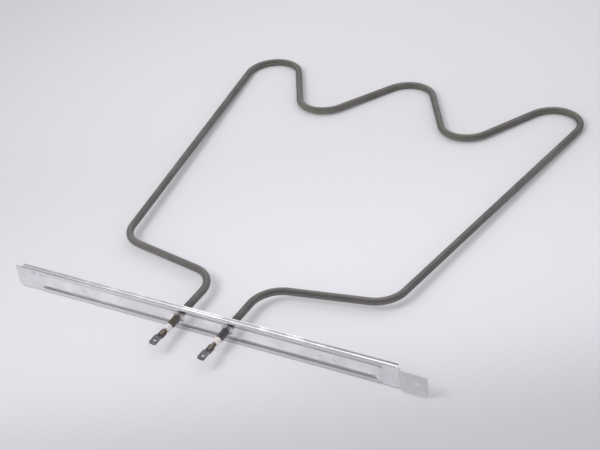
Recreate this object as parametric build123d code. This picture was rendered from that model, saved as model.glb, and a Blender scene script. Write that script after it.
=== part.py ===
from build123d import *
import math
import os

# Tubular oven heating element: one bent sheathed tube on a pressed sheet-steel mounting strip.
# Millimetres. +X runs along the strip towards its joggled tab, +Y runs back into the loop and +Z is up.
# The origin is midway between the two legs, in the middle of the sheet, on the strip's lower edge.

# Sheath and what it holds
sheathDiameter = 6.5
sheathWall = 0.55
coilDiameter = 3.0
wireDiameter = 0.4
seatGap = 0.02
coldLength = 28.0
coilOverlap = 8.0

# Bends of the tube: distances back from the strip's front face, and out from the middle line
legSpacing = 46.6
bendRadius = 26.5
shoulderBack = 60.5
hipOut = 131.4
hipBack = 80.5
lobeOut = 198.3
lobeBack = 516.0
valleyOut = 77.5
valleyBack = 306.9
peakBack = 430.4
legHeight = 10.5

# Terminals, measured out from the strip's front face
sheathStickOut = 11.7
bushLength = 5.4
bushDiameter = 6.6
bushRound = 0.9
spigotLength = 3.0
sealLength = 5.0
pinDiameter = 3.4
pinChamfer = 0.3
leftPinStickOut = 25.6
rightPinStickOut = 27.4

# Spade tabs
bladeWidth = 6.3
bladeThickness = 0.8
bladeLength = 10.7
bladeChamfer = 1.2
bladeHole = 2.2
bladeHoleFromTip = 4.7
saddleLength = 6.4
saddleDrop = 3.5
saddleRound = 1.3
neckLength = 1.7
neckWidth = 4.3
weldDiameter = 1.1
weldHeight = 0.25
weldSpacing = 2.6
tabRoll = 15.0

# Mounting strip
sheet = 0.8
stripHeight = 21.0
stripLeft = 187.0
stripRight = 177.0
flangeLeft = 181.0
flangeRight = 175.5
flangeDepth = 4.2
foldRadius = 1.3
lipHeight = 1.0
lipRadius = 0.7
joggleLength = 4.0
joggleDepth = 3.0
joggleRadius = 1.8
tabLength = 21.4
tabRise = 1.5
tabHoleDiameter = 4.8
tabHoleFromEnd = 8.7
tabHoleHeight = 12.2
cornerRound = 5.5
tabCornerRound = 4.5

# Pressed panel in the strip, with its plunged collars
panelLeft = 163.0
panelRight = 163.0
panelHeight = 14.6
panelDepth = 2.0
panelEndRamp = 5.0
panelSideRamp = 0.6
panelCorner = 3.0
panelEdgeRound = 0.5
collarWall = 0.8
collarClearance = 0.06
collarRim = 0.27
collarFoot = 0.8
stakeDiameter = 1.3
stakeTipDiameter = 0.5
stakeDepth = 0.4
stakeAngles = (35, 145, 215, 325)

# Worked out from the sizes above
frontFace = -sheet / 2
sheathRadius = sheathDiameter / 2
boreRadius = sheathRadius - sheathWall
pinRadius = pinDiameter / 2
coilRadius = coilDiameter / 2
coilBoreRadius = coilRadius - wireDiameter
legOut = legSpacing / 2
sheathMouth = -sheathStickOut
sealFront = sheathMouth + spigotLength
sealBack = sealFront + sealLength
pinShoulder = coldLength
pinEnd = pinShoulder + coilOverlap
spigotRadius = coilBoreRadius - seatGap
collarBore = sheathRadius + collarClearance
panelFloor = frontFace + panelDepth
tabStart = stripRight + joggleLength
tabEnd = tabStart + tabLength
cutLength = 4 * (panelDepth + sheet)


def loopCorners(legStart):
    """Corner points of the tube's centre line in its own plane, from one leg to the other."""
    right = [
        (legOut, legStart),
        (legOut, shoulderBack),
        (hipOut, hipBack),
        (lobeOut, lobeBack),
        (valleyOut, valleyBack),
    ]
    left = [(-x, y) for x, y in right]
    return left + [(0, peakBack)] + right[::-1]


def loopPath(legStart):
    """The centre line as straight runs and tangent bends, starting at legStart on both legs."""
    return FilletPolyline(*loopCorners(legStart), radius=bendRadius)


def sweepRing(legStart, outer, inner=0.0):
    """A round bar, or a tube where inner is above zero, along the loop from legStart."""
    path = loopPath(legStart)
    section = Circle(outer) - Circle(inner) if inner > 0 else Circle(outer)
    mouth = Plane(origin=path @ 0, z_dir=path % 0)
    return sweep(mouth * section, path=path)


def tiltOfLoop():
    """The angle at which the loop droops, so that its far bends rest on the ground."""
    farBend = loopPath(0).bounding_box().max.Y
    return math.degrees(math.asin((legHeight - sheathRadius) / (farBend + frontFace)))


loopTilt = tiltOfLoop()


def seatLoop(shape):
    """Move a piece from the tube's own plane to its place on the strip."""
    return Pos(0, 0, legHeight) * Rot(-loopTilt, 0, 0) * Pos(0, frontFace, 0) * shape


def onLeg(side, shape):
    """Move a piece that is turned about the Y axis to the left (-1) or the right (+1) leg."""
    return seatLoop(Pos(side * legOut, 0, 0) * shape)


def turned(profile):
    """Spin a closed outline of (radius, distance back) points round the leg's axis."""
    return revolve(make_face(Polyline(*profile, close=True)), Axis.Y)


# Heater tube and its filling


def makeSheath():
    return seatLoop(sweepRing(sheathMouth, sheathRadius, boreRadius))


def makeCoil():
    return seatLoop(sweepRing(pinShoulder, coilRadius, coilBoreRadius))


def makeFilling():
    """The packed powder, with the space of the coil and of both pins left free."""
    bar = sweepRing(sealBack, boreRadius - seatGap)
    bar -= sweepRing(pinShoulder, coilRadius + seatGap, coilBoreRadius - seatGap)
    shankEnd = pinShoulder + seatGap
    for side in (-1, 1):
        pinSpace = turned(
            [(0, sealFront), (pinRadius + seatGap, sealFront), (pinRadius + seatGap, shankEnd),
             (coilBoreRadius, shankEnd), (coilBoreRadius, pinEnd + seatGap), (0, pinEnd + seatGap)]
        )
        bar -= Pos(side * legOut, 0, 0) * pinSpace
    return seatLoop(bar)


# Terminals


def makePin(side, stickOut):
    tip = -stickOut
    pin = turned(
        [(0, tip), (pinRadius - pinChamfer, tip), (pinRadius, tip + pinChamfer),
         (pinRadius, pinShoulder - seatGap), (spigotRadius, pinShoulder - seatGap),
         (spigotRadius, pinEnd), (0, pinEnd)]
    )
    return onLeg(side, pin)


def makeSeal(side):
    ring = Circle(boreRadius - seatGap) - Circle(pinRadius + seatGap)
    return onLeg(side, extrude(Plane.XZ.offset(-sealFront) * ring, -sealLength))


def makeBush(side):
    """A ceramic bush with a rounded nose, and a spigot that goes into the sheath."""
    nose = sheathMouth - bushLength
    bore = pinRadius + seatGap
    outer = bushDiameter / 2
    spigot = boreRadius - seatGap
    outline = Polyline(
        (bore, nose), (outer, nose), (outer, sheathMouth), (spigot, sheathMouth),
        (spigot, sealFront), (bore, sealFront), close=True
    )
    section = make_face(outline)
    noseRim = section.vertices().group_by(Axis.Y)[0].sort_by(Axis.X)[-1]
    return onLeg(side, revolve(fillet(noseRim, bushRound), Axis.Y))


def archway(width, top, bottom, corner):
    """An upright outline with its two upper corners rounded."""
    block = Pos(0, (top + bottom) / 2) * Rectangle(width, top - bottom)
    return fillet(block.vertices().group_by(Axis.Y)[-1], corner)


def makeTab(side, stickOut):
    """A blade and a neck that run level into the top of the saddle, a channel welded on the pin."""
    underside = pinRadius + seatGap
    crown = underside + bladeThickness
    foot = crown - saddleDrop
    saddleFront = -stickOut
    bladeBack = saddleFront - neckLength
    tip = bladeBack - bladeLength
    outside = archway(2 * crown, crown, foot, saddleRound)
    inside = archway(2 * underside, underside, foot, saddleRound - bladeThickness)
    saddle = extrude(Plane.XZ.offset(-saddleFront) * (outside - inside), -saddleLength)
    neck = extrude(Plane.XZ.offset(-bladeBack) * outside, -neckLength)
    onPlate = (Align.CENTER, Align.MIN, Align.MIN)
    neck &= Pos(0, bladeBack, underside) * Box(neckWidth, neckLength, bladeThickness, align=onPlate)

    half = bladeWidth / 2
    plan = Polyline(
        (half, bladeBack), (half, tip + bladeChamfer), (half - bladeChamfer, tip),
        (bladeChamfer - half, tip), (-half, tip + bladeChamfer), (-half, bladeBack), close=True
    )
    hole = Pos(0, tip + bladeHoleFromTip) * Circle(bladeHole / 2)
    blade = extrude(Plane.XY.offset(underside) * (make_face(plan) - hole), bladeThickness)

    tab = saddle + neck + blade
    onBase = (Align.CENTER, Align.CENTER, Align.MIN)
    for step in (-1, 1):
        nugget = Cylinder(weldDiameter / 2, weldHeight + seatGap, align=onBase)
        tab += Pos(0, saddleFront + (saddleLength + step * weldSpacing) / 2, crown - seatGap) * nugget
    return onLeg(side, Rot(0, tabRoll, 0) * tab)


# Mounting strip


def stripPlate():
    """The upright sheet, drawn from above: plate, joggle and end tab."""
    corners = [(-stripLeft, 0), (stripRight, 0), (tabStart, -joggleDepth), (tabEnd, -joggleDepth)]
    line = FilletPolyline(*corners, radius=joggleRadius)
    return extrude(trace(line, sheet), stripHeight)


def stripFlange():
    """The folded top edge: a quarter bend, a flat and a turned-up lip, along the strip."""
    topLine = stripHeight - sheet / 2
    rear = frontFace + flangeDepth - sheet / 2
    foldStart = stripHeight - foldRadius - sheet
    line = FilletPolyline(
        (0, foldStart), (0, topLine), (rear, topLine), (rear, stripHeight + lipHeight),
        radius=(foldRadius, lipRadius)
    )
    return extrude(Plane.YZ.offset(-flangeLeft) * trace(line, sheet), flangeLeft + flangeRight)


def panelBlock(setBack, endGrowth, sideGrowth):
    """The panel's tapered block: the overlap of its plan and its section, with rounded corners."""
    front = frontFace + setBack
    back = front + panelDepth
    left, right = -panelLeft - endGrowth, panelRight + endGrowth
    plan = Polyline(
        (left, front), (right, front), (right - panelEndRamp, back), (left + panelEndRamp, back), close=True
    )
    low = (stripHeight - panelHeight) / 2 - sideGrowth
    high = (stripHeight + panelHeight) / 2 + sideGrowth
    section = Polyline(
        (front, low), (back, low + panelSideRamp), (back, high - panelSideRamp), (front, high), close=True
    )
    block = extrude(make_face(plan), stripHeight)
    block &= extrude(Plane.YZ.offset(left) * make_face(section), right - left)
    corners = [e for e in block.edges() if e.bounding_box().size.Y > panelDepth / 2]
    return fillet(corners, panelCorner)


def pressPanel(body):
    """Press the long panel back by its depth, keeping the sheet's thickness in floor and walls."""
    endGrowth = sheet * math.tan(math.atan2(panelDepth, panelEndRamp) / 2)
    sideGrowth = sheet * math.tan(math.atan2(panelDepth, panelSideRamp) / 2)
    body = body + panelBlock(sheet, endGrowth, sideGrowth) - panelBlock(0, 0, 0)
    rim = [
        e for e in body.edges()
        if abs(e.center().Y - frontFace) < seatGap and e.bounding_box().size.Y < seatGap
        and sheet < e.center().Z < stripHeight - sheet and abs(e.center().X) < panelLeft + seatGap
    ]
    return fillet(rim, panelEdgeRound)


def collar():
    """A plunged collar, with its foot flared into the panel and its rim at the strip's front face."""
    outer = collarBore + collarWall
    outline = Polyline(
        (0, panelFloor + sheet), (0, frontFace), (outer - collarRim, frontFace),
        (outer, frontFace + collarRim), (outer, panelFloor - collarFoot), (outer + collarFoot, panelFloor),
        (outer + collarFoot, panelFloor + sheet), close=True
    )
    return revolve(make_face(outline), Axis.Y)


def stakeDent(angle):
    """A punch mark in the panel beside the collar, which closes the collar on the tube."""
    out = Vector(collarBore + collarWall + collarFoot + stakeDiameter / 2, 0, 0).rotate(Axis.Z, angle)
    onBase = (Align.CENTER, Align.CENTER, Align.MIN)
    dent = Cone(stakeDiameter / 2, stakeTipDiameter / 2, stakeDepth, align=onBase)
    return Pos(out.X, panelFloor, out.Y) * Rot(-90, 0, 0) * dent


def tabRelief():
    """What is cut away under the joggle and the tab, whose lower edge runs higher than the strip's."""
    far = tabEnd + sheet
    outline = Polyline(
        (stripRight, 0), (tabStart, tabRise), (far, tabRise), (far, -sheet), (stripRight, -sheet), close=True
    )
    return extrude(Plane.XZ * make_face(outline), joggleDepth + 2 * sheet, both=True)


def lowestCorner(body, end):
    """The lower corner edge of the first (0) or the last (-1) end along the strip."""
    return body.edges().filter_by(Axis.Y).group_by(Axis.X)[end].sort_by(Axis.Z)[0]


def makeStrip():
    foldZone = stripHeight - foldRadius - sheet
    upper = Box(flangeLeft + flangeRight, cutLength, stripHeight, align=(Align.MIN, Align.CENTER, Align.MIN))
    body = stripPlate() - Pos(-flangeLeft, 0, foldZone) * upper + stripFlange() - tabRelief()
    body = fillet(lowestCorner(body, 0), cornerRound)
    body = fillet(lowestCorner(body, -1), tabCornerRound)
    body = pressPanel(body)

    for side in (-1, 1):
        place = Pos(side * legOut, 0, legHeight)
        body += place * collar()
        body -= onLeg(side, Rot(90, 0, 0) * Cylinder(collarBore, cutLength))
        for angle in stakeAngles:
            body -= place * stakeDent(angle)

    hole = Rot(90, 0, 0) * Cylinder(tabHoleDiameter / 2, cutLength)
    return body - Pos(tabEnd - tabHoleFromEnd, -joggleDepth, tabHoleHeight) * hole


nodes = {
    "mounting_strip": makeStrip(),
    "heater_sheath": makeSheath(),
    "magnesia_filling": makeFilling(),
    "resistance_coil": makeCoil(),
    "terminal_pin_left": makePin(-1, leftPinStickOut),
    "terminal_pin_right": makePin(1, rightPinStickOut),
    "end_seal_left": makeSeal(-1),
    "end_seal_right": makeSeal(1),
    "ceramic_bush_left": makeBush(-1),
    "ceramic_bush_right": makeBush(1),
    "spade_tab_left": makeTab(-1, leftPinStickOut),
    "spade_tab_right": makeTab(1, rightPinStickOut),
}

os.makedirs("parts", exist_ok=True)
for name, shape in nodes.items():
    export_step(shape, f"parts/{name}.step")
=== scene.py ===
import bpy
import bmesh
import math
from mathutils import Matrix, Vector


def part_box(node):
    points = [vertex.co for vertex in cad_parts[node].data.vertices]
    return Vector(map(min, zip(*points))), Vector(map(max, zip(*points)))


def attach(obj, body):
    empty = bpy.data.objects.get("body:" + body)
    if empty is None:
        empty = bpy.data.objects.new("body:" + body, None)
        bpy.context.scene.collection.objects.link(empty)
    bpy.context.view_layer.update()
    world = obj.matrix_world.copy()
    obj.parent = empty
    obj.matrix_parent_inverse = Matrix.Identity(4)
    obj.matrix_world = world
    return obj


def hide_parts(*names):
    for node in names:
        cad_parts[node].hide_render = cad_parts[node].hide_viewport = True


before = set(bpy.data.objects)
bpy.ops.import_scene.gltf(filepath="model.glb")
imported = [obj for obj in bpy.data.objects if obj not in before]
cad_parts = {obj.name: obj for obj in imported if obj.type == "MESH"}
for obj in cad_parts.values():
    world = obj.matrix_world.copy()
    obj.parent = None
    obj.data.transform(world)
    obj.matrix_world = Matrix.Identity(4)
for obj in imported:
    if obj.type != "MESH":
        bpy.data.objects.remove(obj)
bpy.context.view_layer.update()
mm = 0.001
print("frame loaded:", len(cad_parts), "pieces of the heater")


# node helpers

def put(tree, kind, sockets=None, **settings):
    # a node with its settings, and a value or a link for each named socket
    node = tree.nodes.new(kind)
    for name, value in settings.items():
        setattr(node, name, value)
    for socket, value in (sockets or {}).items():
        if isinstance(value, bpy.types.NodeSocket):
            tree.links.new(value, node.inputs[socket])
        else:
            node.inputs[socket].default_value = value
    return node


def mixColours(tree, share, first, second, blend="MIX"):
    # a colour is a socket, or three numbers that get full alpha
    first, second = (colour if isinstance(colour, bpy.types.NodeSocket) else (*colour, 1.0)
                     for colour in (first, second))
    return put(tree, "ShaderNodeMix", {0: share, 6: first, 7: second},
               data_type="RGBA", blend_type=blend).outputs[2]


def ramp(tree, value, low, high, outLow=0.0, outHigh=1.0):
    # a smooth step of a value between two limits
    return put(tree, "ShaderNodeMapRange", {
        "Value": value, "From Min": low, "From Max": high, "To Min": outLow, "To Max": outHigh,
    }, interpolation_type="SMOOTHSTEP").outputs["Result"]


def maths(tree, kind, first, second=0.0):
    return put(tree, "ShaderNodeMath", {0: first, 1: second}, operation=kind).outputs[0]


def times(tree, first, second):
    return maths(tree, "MULTIPLY", first, second)


def vectorMaths(tree, kind, first, second):
    return put(tree, "ShaderNodeVectorMath", {0: first, 1: second}, operation=kind)


def axesOf(tree, vector):
    return put(tree, "ShaderNodeSeparateXYZ", {"Vector": vector}).outputs


def objectPlace(tree):
    return put(tree, "ShaderNodeTexCoord").outputs["Object"]


def spotMask(tree, place, middle, gone, full):
    # a round spot that fades out towards the first of two distances
    away = vectorMaths(tree, "DISTANCE", place, middle).outputs["Value"]
    return ramp(tree, away, gone, full)


def layered(tree, colour, layers):
    # each layer is a mask, its strength and its colour
    for mask, strength, sheenColour in layers:
        colour = mixColours(tree, times(tree, mask, strength), colour, sheenColour)
    return colour


# shader groups that several finishes share

def groupWith(name, inputs, outputs, kind="ShaderNodeTree"):
    group = bpy.data.node_groups.new(name, kind)
    for label, socketKind in inputs:
        group.interface.new_socket(name=label, in_out="INPUT", socket_type=socketKind)
    for label, socketKind in outputs:
        group.interface.new_socket(name=label, in_out="OUTPUT", socket_type=socketKind)
    return group, group.nodes.new("NodeGroupInput"), group.nodes.new("NodeGroupOutput")


def addNoise(group, given, made, vector, scale, layer):
    # one output of a group, kept between limits where the layer has them
    noise = put(group, "ShaderNodeTexNoise", {
        "Vector": vector, "W": given.outputs["Seed"], "Scale": scale,
        "Detail": layer["detail"], "Roughness": layer["roughness"],
    }, noise_dimensions="4D").outputs["Fac"]
    if "limits" in layer:
        noise = ramp(group, noise, *layer["limits"])
    group.links.new(noise, made.inputs[layer["output"]])


grainLayers = [
    {"output": "Lines", "scaleShare": 1.0, "detail": 3.0, "roughness": 0.6},
    {"output": "Streaks", "scaleShare": 0.16, "detail": 4.0, "roughness": 0.55, "limits": (0.35, 0.65)},
]


def makeDrawnGrain(layers):
    # fine lines along one direction, as rolling and drawing leave them
    group, given, made = groupWith(
        "drawnGrain",
        [("Vector", "NodeSocketVector"), ("Lines per Metre", "NodeSocketFloat"),
         ("Squeeze", "NodeSocketVector"), ("Seed", "NodeSocketFloat")],
        [("Lines", "NodeSocketFloat"), ("Streaks", "NodeSocketFloat")],
    )
    squeezed = vectorMaths(group, "MULTIPLY", given.outputs["Vector"], given.outputs["Squeeze"]).outputs[0]
    for layer in layers:
        scale = times(group, given.outputs["Lines per Metre"], layer["scaleShare"])
        addNoise(group, given, made, squeezed, scale, layer)
    return group


blotchLayers = [
    {"output": "Patches", "size": "Patch Size", "detail": 3.0, "roughness": 0.55, "limits": (0.38, 0.62)},
    {"output": "Specks", "size": "Speck Size", "detail": 3.0, "roughness": 0.55, "limits": (0.56, 0.72)},
]


def makeBlotches(layers):
    # cloudy patches and small specks, for oxide, stains and handling marks
    group, given, made = groupWith(
        "blotches",
        [("Vector", "NodeSocketVector"), ("Patch Size", "NodeSocketFloat"),
         ("Speck Size", "NodeSocketFloat"), ("Seed", "NodeSocketFloat")],
        [("Patches", "NodeSocketFloat"), ("Specks", "NodeSocketFloat")],
    )
    for layer in layers:
        scale = maths(group, "DIVIDE", 1.0, given.outputs[layer["size"]])
        addNoise(group, given, made, given.outputs["Vector"], scale, layer)
    return group


drawnGrain = makeDrawnGrain(grainLayers)
blotches = makeBlotches(blotchLayers)


def addGrain(tree, place, settings):
    return put(tree, "ShaderNodeGroup", {
        "Vector": place, "Lines per Metre": settings["linesPerMetre"],
        "Squeeze": settings["squeeze"], "Seed": settings["grainSeed"],
    }, node_tree=drawnGrain).outputs


def addCloud(tree, place, settings):
    return put(tree, "ShaderNodeGroup", {
        "Vector": place, "Patch Size": settings["patchSize"],
        "Speck Size": settings["speckSize"], "Seed": settings["cloudSeed"],
    }, node_tree=blotches).outputs


def newMaterial(name, colour, metallic, roughness):
    material = bpy.data.materials.new(name)
    material.use_nodes = True
    tree = material.node_tree
    shader = tree.nodes["Principled BSDF"]
    shader.inputs["Base Color"].default_value = (*colour, 1.0)
    shader.inputs["Metallic"].default_value = metallic
    shader.inputs["Roughness"].default_value = roughness
    return material, tree, shader


def dress(tree, shader, colour, patches, settings):
    # the mixed colour, and a roughness that follows the patches where a finish has limits for it
    tree.links.new(colour, shader.inputs["Base Color"])
    if "roughness" in settings:
        tree.links.new(ramp(tree, patches, 0.0, 1.0, *settings["roughness"]), shader.inputs["Roughness"])


def bumpInto(tree, target, height, distance, strength):
    bump = put(tree, "ShaderNodeBump", {"Height": height, "Distance": distance, "Strength": strength})
    tree.links.new(bump.outputs["Normal"], target.inputs["Normal"])
    return bump


# finishes

sheathFinish = {
    "straightColour": (0.178, 0.170, 0.163),
    # painted sheen: runs across the part are lighter, grey at the hips and olive at the far bends
    "hipSheenColour": (0.247, 0.236, 0.226),
    "bendSheenColour": (0.250, 0.243, 0.205),
    "bendsFrom": (150.0 * mm, 280.0 * mm),  # the hips lie in front of this, the far bends behind it
    "darkColour": (0.085, 0.082, 0.076),
    "sheenFromTurn": (0.35, 0.95),  # how far the tube turns across the part, for the painted sheen
    "sheenRange": (0.45, 1.0),
    "endTints": [
        (12.5 * mm, 9.5 * mm, (0.178, 0.146, 0.122)),  # brown at the left mouth
        (1467.5 * mm, 1470.5 * mm, (0.148, 0.148, 0.160)),  # blue-grey at the right one
    ],
    "streaking": 0.45,
    "specking": 0.5,
    "metallic": 0.75,
    "plainRoughness": 0.42,
    "roughness": (0.40, 0.56),
    "patchSize": 18.0 * mm,
    "speckSize": 1.1 * mm,
    "cloudSeed": 7.4,
    "linesPerMetre": 2600.0,
    "squeeze": (1.0, 1.0, 0.03),
    "grainSeed": 3.1,
    "grainHeight": 0.012 * mm,
    "grainStrength": 0.6,
}


def makeSheathFinish(settings):
    material, tree, shader = newMaterial(
        "oxidisedSheath", settings["straightColour"], settings["metallic"], settings["plainRoughness"])
    straight = put(tree, "ShaderNodeAttribute", attribute_name="straightTube").outputs["Vector"]
    crosswise = put(tree, "ShaderNodeAttribute", attribute_name="crosswise").outputs["Fac"]
    grain = addGrain(tree, straight, settings)
    cloud = addCloud(tree, straight, settings)

    # painted sheen where the tube runs across the part, uneven with the patches
    turned = ramp(tree, crosswise, *settings["sheenFromTurn"])
    paintedSheen = times(tree, turned, ramp(tree, cloud["Patches"], 0.0, 1.0, *settings["sheenRange"]))
    back = axesOf(tree, objectPlace(tree))["Y"]
    farBack = ramp(tree, back, *settings["bendsFrom"])
    sheenColour = mixColours(tree, farBack, settings["hipSheenColour"], settings["bendSheenColour"])
    along = axesOf(tree, straight)["Z"]
    layers = [(paintedSheen, 1.0, sheenColour)]
    for start, full, endTint in settings["endTints"]:
        layers.append((ramp(tree, along, start, full), 1.0, endTint))
    layers.append((grain["Streaks"], settings["streaking"], settings["darkColour"]))
    layers.append((cloud["Specks"], settings["specking"], settings["darkColour"]))
    dress(tree, shader, layered(tree, settings["straightColour"], layers), cloud["Patches"], settings)
    bumpInto(tree, shader, grain["Lines"], settings["grainHeight"], settings["grainStrength"])
    return material


stripFinish = {
    "plateColour": (0.86, 0.86, 0.875),
    # painted reflection: the recessed panel is lighter than the plate around it
    "panelReflectionColour": (0.96, 0.96, 0.965),
    "panelDepth": (0.6 * mm, 1.3 * mm),
    "panelTop": (18.6 * mm, 17.6 * mm),
    "stainColour": (0.66, 0.655, 0.66),
    "clouding": 0.40,
    "streaking": 0.22,
    "specking": 0.3,
    "metallic": 1.0,
    "plainRoughness": 0.3,
    "roughness": (0.17, 0.27),
    "patchSize": 16.0 * mm,
    "speckSize": 0.9 * mm,
    "cloudSeed": 1.7,
    "linesPerMetre": 3200.0,
    "squeeze": (0.02, 1.0, 1.0),
    "grainSeed": 0.0,
    "grainHeight": 0.01 * mm,
    "grainStrength": 0.5,
    "waveHeight": 0.09 * mm,
    "waveStrength": 0.7,
    # dark colour of the marks and cut edges, and of all the painted shade on the strip
    "marksAndShadeColour": (0.34, 0.34, 0.35),
    "cutEdgeUp": (0.7, 0.9),  # the top cut edge, by how far it faces up
    "middleOfFlange": -2.75 * mm,
    "pastFlange": (178.5 * mm, 179.5 * mm),
    "tabFrom": (178.0 * mm, 181.0 * mm),
    # painted shade on the end tab, uneven with the patches
    "tabShadeRange": (0.26, 0.104),
    "flangeUp": (0.5, 0.8),
    # painted shade on the flange top, darker towards its left end
    "flangeShadeAlong": (-85.0 * mm, -150.0 * mm),
    "flangeShadeDepth": 0.45,
    "lipFrom": (2.5 * mm, 3.1 * mm),
    "lipFoot": (19.6 * mm, 20.4 * mm),
    # painted shade on the rear lip, darker towards its right end
    "lipShadeAlong": (70.0 * mm, 135.0 * mm),
    "lipShadeDepth": 0.75,
    # x, z and reach of each mark, in mm, as for the collars
    "marks": [(-168.0, 18.0, 2.4), (-118.0, 10.7, 1.9), (108.0, 10.0, 1.6), (120.0, 9.5, 1.3)],
    "markSquat": 0.6,  # marks are longer than high
    "markCore": 0.3,
    "markDepth": 0.45,
    # painted shade round the collars, where the tube meets the strip
    "collars": [(-23.3, 10.6), (23.3, 10.6)],
    "collarReach": (5.3 * mm, 4.6 * mm),
    "collarShadeDepth": 0.55,
    # the heights where a painted shade line starts, is full, ends and is gone, and its depth: one along the
    # foot, the others along the panel's edges
    "footShadeLine": ((-1.0 * mm, 0.0, 0.5 * mm, 1.2 * mm), 0.85),
    "panelShadeLines": [
        ((0.6 * mm, 1.2 * mm, 2.8 * mm, 3.2 * mm), 0.42),
        ((3.0 * mm, 3.4 * mm, 3.9 * mm, 4.3 * mm), 0.30),
        ((14.6 * mm, 15.1 * mm, 18.4 * mm, 18.8 * mm), 0.90),
        ((18.2 * mm, 18.7 * mm, 20.4 * mm, 20.8 * mm), 0.22),
    ],
    "besidePanel": (164.0 * mm, 162.0 * mm),
    "linesFrom": (-130.0 * mm, -30.0 * mm),
    "faintest": 0.25,
}


def lineMask(tree, height, heights):
    low, full, end, gone = heights
    return times(tree, ramp(tree, height, low, full), ramp(tree, height, gone, end))


def makeStripFinish(settings):
    material, tree, shader = newMaterial(
        "galvanisedStrip", settings["plateColour"], settings["metallic"], settings["plainRoughness"])
    place = objectPlace(tree)
    x, y, z = axesOf(tree, place)
    upward = axesOf(tree, put(tree, "ShaderNodeNewGeometry").outputs["Normal"])["Z"]
    grain = addGrain(tree, place, settings)
    cloud = addCloud(tree, place, settings)

    # painted reflection, lighter in the recessed panel
    panelReflection = times(tree, ramp(tree, y, *settings["panelDepth"]), ramp(tree, z, *settings["panelTop"]))
    colour = mixColours(tree, panelReflection, settings["plateColour"], settings["panelReflectionColour"])

    fromFlange = maths(tree, "ABSOLUTE", maths(tree, "SUBTRACT", x, settings["middleOfFlange"]))
    cutEdge = times(tree, ramp(tree, upward, *settings["cutEdgeUp"]),
                    ramp(tree, fromFlange, *settings["pastFlange"]))
    # painted shade on the end tab
    tabShade = times(tree, ramp(tree, x, *settings["tabFrom"]),
                ramp(tree, cloud["Patches"], 0.0, 1.0, *settings["tabShadeRange"]))
    # painted shade on the upward flange towards the left end
    flangeShade = times(tree, ramp(tree, upward, *settings["flangeUp"]), ramp(tree, x, *settings["flangeShadeAlong"]))
    # painted shade on the rear lip
    lipShade = times(tree, ramp(tree, y, *settings["lipFrom"]), ramp(tree, z, *settings["lipFoot"]))
    lipShade = times(tree, lipShade, ramp(tree, x, *settings["lipShadeAlong"]))
    shades = [(cutEdge, 1.0), (tabShade, 1.0), (flangeShade, settings["flangeShadeDepth"]), (lipShade, settings["lipShadeDepth"])]

    squat = settings["markSquat"]
    squatPlace = put(tree, "ShaderNodeCombineXYZ", {"X": times(tree, x, squat), "Z": z}).outputs[0]
    for markX, markZ, reach in settings["marks"]:
        mark = spotMask(tree, squatPlace, (squat * markX * mm, 0.0, markZ * mm),
                        reach * mm, settings["markCore"] * reach * mm)
        shades.append((mark, settings["markDepth"]))
    upright = put(tree, "ShaderNodeCombineXYZ", {"X": x, "Z": z}).outputs[0]
    # painted shade round each collar
    for collarX, collarZ in settings["collars"]:
        collarShade = spotMask(tree, upright, (collarX * mm, 0.0, collarZ * mm), *settings["collarReach"])
        shades.append((collarShade, settings["collarShadeDepth"]))

    # painted shade lines keep to the panel's length and are fainter towards the left end
    beside = ramp(tree, maths(tree, "ABSOLUTE", x), *settings["besidePanel"])
    beside = times(tree, beside, ramp(tree, x, *settings["linesFrom"], settings["faintest"], 1.0))
    heights, depth = settings["footShadeLine"]
    shades.append((lineMask(tree, z, heights), depth))
    for heights, depth in settings["panelShadeLines"]:
        shades.append((times(tree, lineMask(tree, z, heights), beside), depth))

    layers = [(mask, depth, settings["marksAndShadeColour"]) for mask, depth in shades]
    stains = [(cloud["Patches"], "clouding"), (grain["Streaks"], "streaking"), (cloud["Specks"], "specking")]
    layers += [(mask, settings[key], settings["stainColour"]) for mask, key in stains]
    dress(tree, shader, layered(tree, colour, layers), cloud["Patches"], settings)
    lines = bumpInto(tree, shader, grain["Lines"], settings["grainHeight"], settings["grainStrength"])
    bumpInto(tree, lines, cloud["Patches"], settings["waveHeight"], settings["waveStrength"])
    return material


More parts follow.
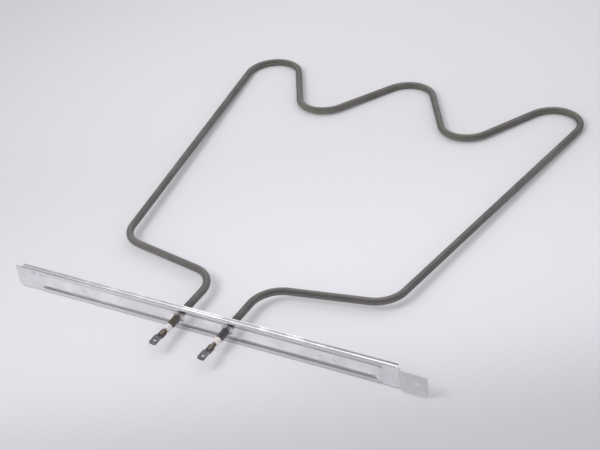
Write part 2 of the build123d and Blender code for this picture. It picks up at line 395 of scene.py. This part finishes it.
metalFinishes = {
    "heatTintedPin": {
        "slot": "heat_tinted_pin",
        "colour": (0.150, 0.115, 0.090), "patchColour": (0.300, 0.245, 0.200),
        "darkColour": (0.050, 0.040, 0.034),
        "metallic": 0.85, "plainRoughness": 0.4, "roughness": (0.34, 0.55),
        "patchSize": 2.4 * mm, "speckSize": 0.4 * mm, "cloudSeed": 2.3,
        "squeeze": (1.0, 0.06, 1.0), "linesPerMetre": 5200.0, "grainSeed": 2.3,
        "grainHeight": 0.014 * mm, "grainStrength": 0.6, "wear": 0.4,
    },
    "nickelBlade": {
        "slot": "nickel_blade",
        "colour": (0.110, 0.107, 0.110), "patchColour": (0.225, 0.220, 0.222),
        "darkColour": (0.055, 0.053, 0.055),
        "metallic": 0.9, "plainRoughness": 0.4, "roughness": (0.30, 0.48),
        "patchSize": 3.0 * mm, "speckSize": 0.4 * mm, "cloudSeed": 3.3,
        "squeeze": (1.0, 0.05, 1.0), "linesPerMetre": 6000.0, "grainSeed": 3.3,
        "grainHeight": 0.01 * mm, "grainStrength": 0.6, "wear": 0.4,
        # welding and heat have browned the channel
        "heatedFrom": (-29.5 * mm, -26.5 * mm), "heatedRange": (0.95, 0.55),
        "heatedColour": (0.085, 0.062, 0.050),
        "spots": [
            {"places": [(-22.68, -26.85, 12.70), (23.92, -28.65, 12.75)],  # painted shade in the waist behind the blade, where the pinch is deeper than the model's
             "reach": (2.3 * mm, 0.9 * mm), "colour": (0.030, 0.028, 0.028), "strength": 0.75},
            {"places": [(-22.63, -24.05, 13.42), (-22.63, -21.45, 13.38),  # the spot welds
                        (23.97, -25.85, 13.46), (23.97, -23.25, 13.41)],
             "reach": (1.25 * mm, 0.55 * mm), "colour": (0.34, 0.29, 0.24), "strength": 0.85},
        ],
    },
    "resistanceWire": {
        "slot": "resistance_wire",
        "colour": (0.340, 0.325, 0.305), "patchColour": (0.400, 0.385, 0.360),
        "darkColour": (0.160, 0.150, 0.140),
        "metallic": 1.0, "plainRoughness": 0.4, "roughness": (0.28, 0.42),
        "patchSize": 6.0 * mm, "speckSize": 0.5 * mm, "cloudSeed": 4.3,
        "squeeze": (1.0, 1.0, 1.0), "linesPerMetre": 3000.0, "grainSeed": 4.3,
        "grainHeight": 0.004 * mm, "grainStrength": 0.6, "wear": 0.4,
    },
}


def makeMetalFinish(name, settings):
    material, tree, shader = newMaterial(
        name, settings["colour"], settings["metallic"], settings["plainRoughness"])
    place = objectPlace(tree)
    grain = addGrain(tree, place, settings)
    cloud = addCloud(tree, place, settings)
    layers = [
        (cloud["Patches"], 1.0, settings["patchColour"]),
        (grain["Streaks"], settings["wear"], settings["darkColour"]),
    ]
    if "heatedFrom" in settings:
        heated = ramp(tree, axesOf(tree, place)["Y"], *settings["heatedFrom"])
        uneven = ramp(tree, cloud["Patches"], 0.0, 1.0, *settings["heatedRange"])
        layers.append((heated, uneven, settings["heatedColour"]))
    for spots in settings.get("spots", []):
        for middle in spots["places"]:
            spot = spotMask(tree, place, [value * mm for value in middle], *spots["reach"])
            layers.append((spot, spots["strength"], spots["colour"]))
    dress(tree, shader, layered(tree, settings["colour"], layers), cloud["Patches"], settings)
    bumpInto(tree, shader, grain["Lines"], settings["grainHeight"], settings["grainStrength"])
    return material


plainFinishes = {
    "whiteCeramic": {
        "slot": "white_ceramic",
        "colour": (0.80, 0.755, 0.745), "shadeColour": (0.66, 0.60, 0.585), "soiling": 0.35,
        "plainRoughness": 0.45, "roughness": (0.32, 0.55),
        "patchSize": 3.0 * mm, "speckSize": 0.5 * mm, "cloudSeed": 0.0,
        "pitHeight": 0.02 * mm, "pitStrength": 0.5,
    },
    "magnesiaPowder": {
        "slot": "magnesia_powder",
        "colour": (0.78, 0.77, 0.73), "shadeColour": (0.62, 0.61, 0.57), "soiling": 1.0,
        "plainRoughness": 0.92,
        "patchSize": 4.0 * mm, "speckSize": 0.3 * mm, "cloudSeed": 0.0,
        "pitHeight": 0.05 * mm, "pitStrength": 0.5,
    },
    "siliconeSeal": {
        "slot": "silicone_seal",
        "colour": (0.62, 0.60, 0.56), "shadeColour": (0.50, 0.48, 0.44), "soiling": 1.0,
        "plainRoughness": 0.62,
        "patchSize": 2.0 * mm, "speckSize": 0.4 * mm, "cloudSeed": 0.0,
        "pitHeight": 0.02 * mm, "pitStrength": 0.5,
    },
}


def makePlainFinish(name, settings):
    material, tree, shader = newMaterial(name, settings["colour"], 0.0, settings["plainRoughness"])
    cloud = addCloud(tree, objectPlace(tree), settings)
    soiled = [(cloud["Patches"], settings["soiling"], settings["shadeColour"])]
    colour = layered(tree, settings["colour"], soiled)
    dress(tree, shader, colour, cloud["Patches"], settings)
    bumpInto(tree, shader, cloud["Specks"], settings["pitHeight"], settings["pitStrength"])
    return material


finishes = {
    "oxidised_sheath": makeSheathFinish(sheathFinish),
    "galvanised_strip": makeStripFinish(stripFinish),
}
for makeFinish, group in ((makeMetalFinish, metalFinishes), (makePlainFinish, plainFinishes)):
    for name, settings in group.items():
        finishes[settings["slot"]] = makeFinish(name, settings)
print("finishes made:", len(finishes))


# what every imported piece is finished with

slotOfNode = {
    "mounting_strip": "galvanised_strip",
    "heater_sheath": "oxidised_sheath",
    "magnesia_filling": "magnesia_powder",
    "resistance_coil": "resistance_wire",
    "terminal_pin_left": "heat_tinted_pin",
    "terminal_pin_right": "heat_tinted_pin",
    "end_seal_left": "silicone_seal",
    "end_seal_right": "silicone_seal",
    "ceramic_bush_left": "white_ceramic",
    "ceramic_bush_right": "white_ceramic",
    "spade_tab_left": "nickel_blade",
    "spade_tab_right": "nickel_blade",
}
for name, slotName in slotOfNode.items():
    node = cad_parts[name]
    node.data.materials.clear()
    node.data.materials.append(finishes[slotName])
print("packed pieces finished")


# the bent tube, swept along the line of the legs and bends

tube = {
    "diameter": 6.5 * mm,
    "wall": 0.55 * mm,
    "bendRadius": 26.5 * mm,
    "legSpacing": 46.6 * mm,
    "legHeight": 10.5 * mm,
    "mouth": -11.7 * mm,
    "frontFace": -0.4 * mm,
    "corners": [(131.4, 80.5), (198.3, 516.0), (77.5, 306.9)],  # hip, far lobe and notch, x and y in mm
    "shoulderBack": 60.5 * mm,
    "peakBack": 430.4 * mm,
    "sides": 40,
    "bendSteps": 36,
}
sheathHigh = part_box("heater_sheath")[1]
tubeRadius = tube["diameter"] / 2
loopTilt = math.atan2(tube["legHeight"] - tubeRadius, sheathHigh.y - tubeRadius)


def inLoopPlane(x, back):
    # a point of the loop's own plane, which droops from the strip to the far bends
    reach = back + tube["frontFace"]
    return Vector((x, reach * math.cos(loopTilt), tube["legHeight"] - reach * math.sin(loopTilt)))


def loopCorners(legStart):
    legOut = tube["legSpacing"] / 2
    right = [(legOut, legStart), (legOut, tube["shoulderBack"])]
    right += [(x * mm, y * mm) for x, y in tube["corners"]]
    left = [(-x, y) for x, y in right]
    return [inLoopPlane(x, y) for x, y in left + [(0.0, tube["peakBack"])] + right[::-1]]


def cornerLine(name, points):
    curve = bpy.data.curves.new(name, "CURVE")
    curve.dimensions = "3D"
    spline = curve.splines.new("POLY")
    spline.points.add(len(points) - 1)
    for point, place in zip(spline.points, points):
        point.co = (*place, 1.0)
    line = bpy.data.objects.new(name, curve)
    bpy.context.scene.collection.objects.link(line)
    return line


def makeSweepTree():
    tree, given, made = groupWith(
        "sweptTube",
        [("Geometry", "NodeSocketGeometry"), ("Bend Radius", "NodeSocketFloat"),
         ("Bend Steps", "NodeSocketInt"), ("Outer Radius", "NodeSocketFloat"),
         ("Bore Radius", "NodeSocketFloat"), ("Sides", "NodeSocketInt"), ("Finish", "NodeSocketMaterial")],
        [("Geometry", "NodeSocketGeometry")],
        "GeometryNodeTree",
    )
    bent = put(tree, "GeometryNodeFilletCurve", {
        "Curve": given.outputs["Geometry"], "Count": given.outputs["Bend Steps"],
        "Radius": given.outputs["Bend Radius"],
    }, mode="POLY")
    far = put(tree, "GeometryNodeCaptureAttribute", {"Geometry": bent.outputs[0]})
    far.capture_items.new("FLOAT", "Distance")
    far.capture_items.new("VECTOR", "Tangent")
    tree.links.new(put(tree, "GeometryNodeSplineParameter").outputs["Length"], far.inputs["Distance"])
    tree.links.new(put(tree, "GeometryNodeInputTangent").outputs[0], far.inputs["Tangent"])
    crosswise = maths(tree, "ABSOLUTE", axesOf(tree, far.outputs["Tangent"])["X"])
    walls = []
    for radius in ("Outer Radius", "Bore Radius"):
        ring = put(tree, "GeometryNodeCurvePrimitiveCircle", {
            "Resolution": given.outputs["Sides"], "Radius": given.outputs[radius]})
        spot = put(tree, "GeometryNodeCaptureAttribute", {"Geometry": ring.outputs["Curve"]})
        spot.capture_items.new("VECTOR", "Spot")
        tree.links.new(put(tree, "GeometryNodeInputPosition").outputs[0], spot.inputs["Spot"])
        wall = put(tree, "GeometryNodeCurveToMesh", {
            "Curve": far.outputs["Geometry"], "Profile Curve": spot.outputs["Geometry"]})
        flat = axesOf(tree, spot.outputs["Spot"])
        straight = put(tree, "ShaderNodeCombineXYZ", {
            "X": flat["X"], "Y": flat["Y"], "Z": far.outputs["Distance"]})
        named = put(tree, "GeometryNodeStoreNamedAttribute", {
            "Geometry": wall.outputs["Mesh"], "Name": "straightTube", "Value": straight.outputs[0],
        }, data_type="FLOAT_VECTOR", domain="POINT")
        turned = put(tree, "GeometryNodeStoreNamedAttribute", {
            "Geometry": named.outputs["Geometry"], "Name": "crosswise", "Value": crosswise,
        }, data_type="FLOAT", domain="POINT")
        walls.append(turned.outputs["Geometry"])
    inner = put(tree, "GeometryNodeFlipFaces", {"Mesh": walls[1]})
    both = put(tree, "GeometryNodeJoinGeometry")
    for wall in (walls[0], inner.outputs["Mesh"]):
        tree.links.new(wall, both.inputs["Geometry"])
    smooth = put(tree, "GeometryNodeSetShadeSmooth", {"Geometry": both.outputs[0]})
    real = put(tree, "GeometryNodeRealizeInstances", {"Geometry": smooth.outputs[0]})
    painted = put(tree, "GeometryNodeSetMaterial", {
        "Geometry": real.outputs[0], "Material": given.outputs["Finish"]})
    tree.links.new(painted.outputs[0], made.inputs["Geometry"])
    return tree


def meshFromTree(name, source, tree, values):
    # run the tree on the source and keep its result as a plain mesh
    modifier = source.modifiers.new("shape", "NODES")
    modifier.node_group = tree
    inputs = [item for item in tree.interface.items_tree if item.in_out == "INPUT"]
    identifiers = {item.name: item.identifier for item in inputs}
    for label, value in values.items():
        modifier[identifiers[label]] = value
    depsgraph = bpy.context.evaluated_depsgraph_get()
    mesh = bpy.data.meshes.new_from_object(source.evaluated_get(depsgraph), depsgraph=depsgraph)
    mesh.name = name
    source.modifiers.remove(modifier)
    piece = bpy.data.objects.new(name, mesh)
    bpy.context.scene.collection.objects.link(piece)
    bpy.data.objects.remove(source)
    return piece


def closeRims(mesh):
    # join the outer and the inner wall at each open mouth
    shape = bmesh.new()
    shape.from_mesh(mesh)
    openEdges = [edge for edge in shape.edges if edge.is_boundary]
    for side in (-1, 1):
        bmesh.ops.bridge_loops(shape, edges=[edge for edge in openEdges if edge.verts[0].co.x * side > 0])
    bmesh.ops.recalc_face_normals(shape, faces=shape.faces)
    shape.to_mesh(mesh)
    shape.free()


sheathLine = cornerLine("sheathLine", loopCorners(tube["mouth"]))
sheath = meshFromTree("bentSheath", sheathLine, makeSweepTree(), {
    "Bend Radius": tube["bendRadius"], "Bend Steps": tube["bendSteps"], "Outer Radius": tubeRadius,
    "Bore Radius": tubeRadius - tube["wall"], "Sides": tube["sides"], "Finish": finishes["oxidised_sheath"],
})
closeRims(sheath.data)
print("sheath swept:", len(sheath.data.vertices), "points")

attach(sheath, "root")
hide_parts("heater_sheath")


# camera, floor and light

camera = {
    "imageWidth": 600,
    "focalPixels": 1522.4,
    "sensor": 36.0,
    "pitch": 35.074,
    "yaw": 33.366,
    "roll": -7.820,
    "aim": (0.99 * mm, 161.29 * mm, 0.0),
    "distance": 1341.5 * mm,
    "clip": (0.05, 50.0),
}


def makeCamera(settings):
    pitch, yaw, roll = (math.radians(settings[name]) for name in ("pitch", "yaw", "roll"))
    ahead = Vector((-math.sin(yaw) * math.cos(pitch), math.cos(yaw) * math.cos(pitch), -math.sin(pitch)))
    level = Vector((math.cos(yaw), math.sin(yaw), 0.0))
    upright = level.cross(ahead)
    right = math.cos(roll) * level + math.sin(roll) * upright
    up = math.cos(roll) * upright - math.sin(roll) * level
    data = bpy.data.cameras.new("photoCamera")
    data.sensor_width = settings["sensor"]
    data.lens = settings["focalPixels"] * settings["sensor"] / settings["imageWidth"]
    data.clip_start, data.clip_end = settings["clip"]
    view = bpy.data.objects.new("photoCamera", data)
    turn = Matrix((right, up, -ahead)).transposed().to_4x4()
    view.matrix_world = Matrix.Translation(Vector(settings["aim"]) - ahead * settings["distance"]) @ turn
    bpy.context.scene.collection.objects.link(view)
    bpy.context.scene.camera = view


makeCamera(camera)

stage = {
    "size": 12.0,
    # painted light on the floor: a bright pool fading to the edges, a shaded front and a lighter band
    "centreColour": (0.86, 0.85, 0.88),
    "edgeColour": (0.61, 0.60, 0.64),
    "paintedLightAt": (-0.05, 0.40, 0.0),
    "paintedLightReach": (0.10, 0.72),
    "awayFromFront": (-0.55, 0.835, 0.0),
    "paintedFrontShade": (-0.166, -0.026, 0.80, 1.0),  # two distances, and the brightness at each
    "paintedLightStrip": (0.284, -0.016, 0.95, 1.12),
    "roughness": 0.75,
    "specular": 0.2,
}


def makeFloor(settings):
    half = settings["size"] / 2
    mesh = bpy.data.meshes.new("floor")
    corners = [(-half, -half, 0), (half, -half, 0), (half, half, 0), (-half, half, 0)]
    mesh.from_pydata(corners, [], [(0, 1, 2, 3)])
    floor = bpy.data.objects.new("floor", mesh)
    bpy.context.scene.collection.objects.link(floor)
    material, tree, shader = newMaterial("paleFloor", settings["centreColour"], 0.0, settings["roughness"])
    place = objectPlace(tree)
    # painted pool of light, then painted front shade and a painted lighter band
    outsidePaintedLight = spotMask(tree, place, settings["paintedLightAt"], *settings["paintedLightReach"])
    colour = mixColours(tree, outsidePaintedLight, settings["centreColour"], settings["edgeColour"])
    across = vectorMaths(tree, "DOT_PRODUCT", place, settings["awayFromFront"]).outputs["Value"]
    for key in ("paintedFrontShade", "paintedLightStrip"):
        colour = mixColours(tree, 1.0, colour, ramp(tree, across, *settings[key]), "MULTIPLY")
    tree.links.new(colour, shader.inputs["Base Color"])
    shader.inputs["Specular IOR Level"].default_value = settings["specular"]
    mesh.materials.append(material)


makeFloor(stage)

sideKey = {"towards": (-0.52, -0.62, 1.05), "distance": 1.8, "size": 0.70, "power": 9.5}


def makeLamp(name, settings):
    data = bpy.data.lights.new(name, "AREA")
    data.shape = "SQUARE"
    data.size = settings["size"]
    data.energy = settings["power"]
    lamp = bpy.data.objects.new(name, data)
    out = Vector(settings["towards"]).normalized()
    turn = out.to_track_quat("Z", "Y").to_matrix().to_4x4()
    lamp.matrix_world = Matrix.Translation(out * settings["distance"]) @ turn
    lamp.visible_glossy = False  # bright metal shows the cards of the room instead
    bpy.context.scene.collection.objects.link(lamp)


makeLamp("sideKey", sideKey)

room = {
    "fill": (0.755, 0.755, 0.770),
    "bounce": (1.60, 1.60, 1.62),
    "backdrop": (0.78, 0.77, 0.80),
    "cards": [
        {"towards": (0.45, -0.80, 0.35), "inside": 26.0, "outside": 70.0, "colour": (0.30, 0.30, 0.32)},
        {"towards": (-0.20, -0.10, 1.0), "inside": 34.0, "outside": 46.0, "colour": (0.34, 0.33, 0.35)},
        {"towards": (-0.129, 0.483, 0.866), "inside": 27.5, "outside": 31.0, "colour": (1.35, 1.35, 1.37)},
        {"towards": (-0.480, -0.625, 0.616), "inside": 4.5, "outside": 6.5, "colour": (2.20, 2.20, 2.22)},
    ],
}


def makeRoom(settings):
    # plain fill light, and for glossy surfaces a dark front and ceiling with two white cards
    world = bpy.data.worlds.new("studioRoom")
    world.use_nodes = True
    tree = world.node_tree
    direction = put(tree, "ShaderNodeTexCoord").outputs["Generated"]
    colour = settings["fill"]
    for card in settings["cards"]:
        towards = tuple(Vector(card["towards"]).normalized())
        facing = vectorMaths(tree, "DOT_PRODUCT", direction, towards).outputs["Value"]
        outside, inside = (math.cos(math.radians(card[edge])) for edge in ("outside", "inside"))
        colour = mixColours(tree, ramp(tree, facing, outside, inside), colour, card["colour"])
    rays = put(tree, "ShaderNodeLightPath")
    onto = maths(tree, "MINIMUM", rays.outputs["Diffuse Depth"], 1.0)  # what bright metal throws on the floor
    colour = mixColours(tree, onto, colour, settings["bounce"])
    colour = mixColours(tree, rays.outputs["Is Glossy Ray"], settings["fill"], colour)
    colour = mixColours(tree, rays.outputs["Is Camera Ray"], colour, settings["backdrop"])
    tree.links.new(colour, tree.nodes["Background"].inputs["Color"])
    bpy.context.scene.world = world


makeRoom(room)
bpy.context.scene.view_settings.view_transform = "Standard"
print("camera, floor and light set")
